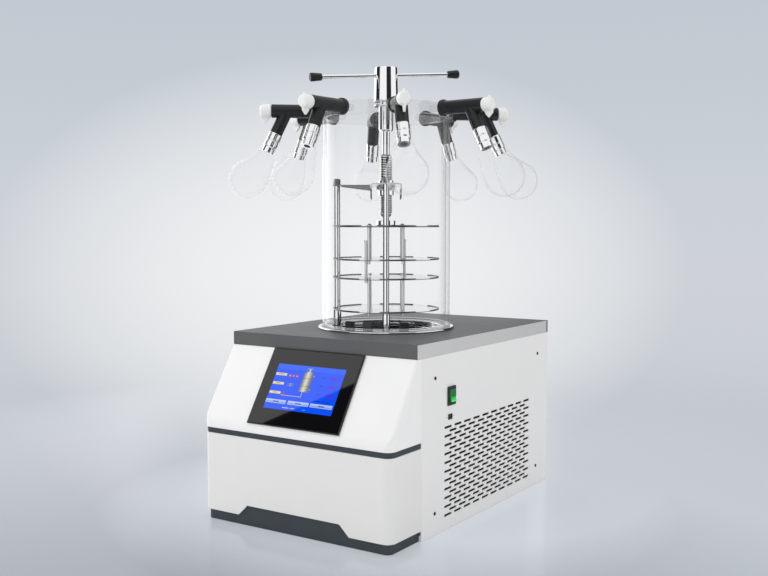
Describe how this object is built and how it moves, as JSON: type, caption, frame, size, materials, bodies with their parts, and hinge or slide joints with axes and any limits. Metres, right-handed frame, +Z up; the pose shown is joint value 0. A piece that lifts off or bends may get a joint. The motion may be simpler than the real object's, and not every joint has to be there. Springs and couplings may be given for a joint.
{
  "type": "freeze dryer",
  "caption": "Benchtop freeze dryer: cabinet with touch display, clear drying chamber with a ring of valves and flasks, and a stoppering rack pressed by a T-handle.",
  "frame": {"origin": "on the floor, under the vertical axis of the drying chamber", "axes": "+Z up, -Y towards the sloped control panel, +X towards the vented side with the power switch"},
  "size_m": [0.6592, 0.6696, 0.9235],
  "materials": {
    "white_cover": "satin white moulded plastic",
    "pale_cover": "satin off-white moulded plastic",
    "side_panel": "fine-textured powder coat, off-white",
    "worktop": "satin dark grey coat",
    "slate_trim": "matt slate grey",
    "galvanised_steel": "bare galvanised sheet",
    "brushed_steel": "fine brushed stainless steel",
    "shelf_steel": "fine brushed stainless sheet, darker",
    "polished_steel": "polished stainless steel",
    "black_plastic": "satin black plastic",
    "black_rubber": "black moulded rubber, slight sheen",
    "clear_silicone": "translucent silicone rubber",
    "white_knob": "satin white moulded plastic",
    "clear_acrylic": "clear polished acrylic",
    "clear_glass": "clear thin borosilicate glass",
    "green_rocker": "translucent green, glossy",
    "panel_glass": "glossy black cover glass",
    "screen": "lit blue colour display",
    "copper": "bare copper tube",
    "black_foam": "closed-cell foam",
    "black_enamel": "gloss black enamel",
    "fin_aluminium": "bare thin fins"
  },
  "bodies": {
    "cabinet": {"base_frame": "galvanised_steel", "plinth": "slate_trim", "front_lower_cover": "pale_cover", "accent_band": "slate_trim", "front_upper_cover": "white_cover", "right_side_panel": "side_panel", "left_side_panel": "side_panel", "rear_panel": "side_panel", "worktop": "worktop", "power_inlet": "black_plastic", "vacuum_port": "polished_steel", "switch_bezel": "black_plastic", "touch_panel": "panel_glass", "display_module": "screen", "cold_trap_well": "brushed_steel", "evaporator_coil": "copper", "trap_insulation": "black_foam", "compressor": "black_enamel", "condenser": "fin_aluminium", "base_gasket": "clear_silicone", "chamber_cylinder": "clear_acrylic", "manifold_lid": "clear_acrylic", "spindle_gland": "polished_steel", "rack_stand": "brushed_steel", "shelf_4": "shelf_steel", "shelf_3": "shelf_steel", "spider_bracket": "polished_steel", "valve_body_1": "black_rubber", "valve_body_2": "black_rubber", "valve_body_3": "black_rubber", "valve_body_4": "black_rubber", "valve_body_5": "black_rubber", "valve_body_6": "black_rubber", "valve_body_7": "black_rubber", "valve_body_8": "black_rubber", "flask_1": "clear_glass", "flask_2": "clear_glass", "flask_3": "clear_glass", "flask_4": "clear_glass", "flask_5": "clear_glass", "flask_6": "clear_glass", "flask_7": "clear_glass", "flask_8": "clear_glass"},
    "handle": {"handle_hub": "polished_steel", "handle_bar": "polished_steel", "handle_knob_left": "black_plastic", "handle_knob_right": "black_plastic"},
    "press": {"press_plate": "shelf_steel"},
    "screw": {"press_screw": "polished_steel"},
    "hanging_shelf": {"shelf_2": "shelf_steel"},
    "power_rocker": {"switch_rocker": "green_rocker"},
    "fan": {"fan_rotor": "black_plastic"},
    "knob_1": {"valve_knob_1": "white_knob"},
    "knob_2": {"valve_knob_2": "white_knob"},
    "knob_3": {"valve_knob_3": "white_knob"},
    "knob_4": {"valve_knob_4": "white_knob"},
    "knob_5": {"valve_knob_5": "white_knob"},
    "knob_6": {"valve_knob_6": "white_knob"},
    "knob_7": {"valve_knob_7": "white_knob"},
    "knob_8": {"valve_knob_8": "white_knob"}
  },
  "joints": [
    {"name": "handle_turn", "type": "hinge", "parent": "cabinet", "child": "handle", "pos_m": [0, 0, 0.9032], "axis": [0, 0, -1], "range_deg": [0, 1720]},
    {"name": "press_travel", "type": "slide", "parent": "cabinet", "child": "press", "axis": [0, 0, -1], "range_m": [0, 0.024]},
    {"name": "screw_turn", "type": "hinge", "parent": "press", "child": "screw", "pos_m": [0, 0, 0.65], "axis": [0, 0, -1], "range_deg": [0, 1725]},
    {"name": "shelf_lift", "type": "slide", "parent": "press", "child": "hanging_shelf", "axis": [0, 0, 1], "range_m": [0, 0.03]},
    {"name": "power_switch", "type": "hinge", "parent": "cabinet", "child": "power_rocker", "pos_m": [0.224, -0.111, 0.26], "axis": [0, 1, 0], "range_deg": [0, 16]},
    {"name": "fan_spin", "type": "hinge", "parent": "cabinet", "child": "fan", "pos_m": [0.1537, 0.12, 0.1043], "axis": [1, 0, 0], "continuous": true},
    {"name": "valve_turn_1", "type": "hinge", "parent": "cabinet", "child": "knob_1", "pos_m": [-0.01674, -0.23942, 0.8262], "axis": [-0.0698, -0.9976, 0], "range_deg": [0, 180]},
    {"name": "valve_turn_2", "type": "hinge", "parent": "cabinet", "child": "knob_2", "pos_m": [0.15745, -0.18113, 0.8262], "axis": [0.6561, -0.7547, 0], "range_deg": [0, 180]},
    {"name": "valve_turn_3", "type": "hinge", "parent": "cabinet", "child": "knob_3", "pos_m": [0.23942, -0.01674, 0.8262], "axis": [0.9976, -0.0698, 0], "range_deg": [0, 180]},
    {"name": "valve_turn_4", "type": "hinge", "parent": "cabinet", "child": "knob_4", "pos_m": [0.18113, 0.15745, 0.8262], "axis": [0.7547, 0.6561, 0], "range_deg": [0, 180]},
    {"name": "valve_turn_5", "type": "hinge", "parent": "cabinet", "child": "knob_5", "pos_m": [0.01674, 0.23942, 0.8262], "axis": [0.0698, 0.9976, 0], "range_deg": [0, 180]},
    {"name": "valve_turn_6", "type": "hinge", "parent": "cabinet", "child": "knob_6", "pos_m": [-0.15745, 0.18113, 0.8262], "axis": [-0.6561, 0.7547, 0], "range_deg": [0, 180]},
    {"name": "valve_turn_7", "type": "hinge", "parent": "cabinet", "child": "knob_7", "pos_m": [-0.23942, 0.01674, 0.8262], "axis": [-0.9976, 0.0698, 0], "range_deg": [0, 180]},
    {"name": "valve_turn_8", "type": "hinge", "parent": "cabinet", "child": "knob_8", "pos_m": [-0.18113, -0.15745, 0.8262], "axis": [-0.7547, -0.6561, 0], "range_deg": [0, 180]}
  ],
  "couplings": [
    {"joint": "press_travel", "follows": "handle_turn", "m_per_rad": 0.00079577},
    {"joint": "screw_turn", "follows": "handle_turn", "ratio": 1}
  ]
}
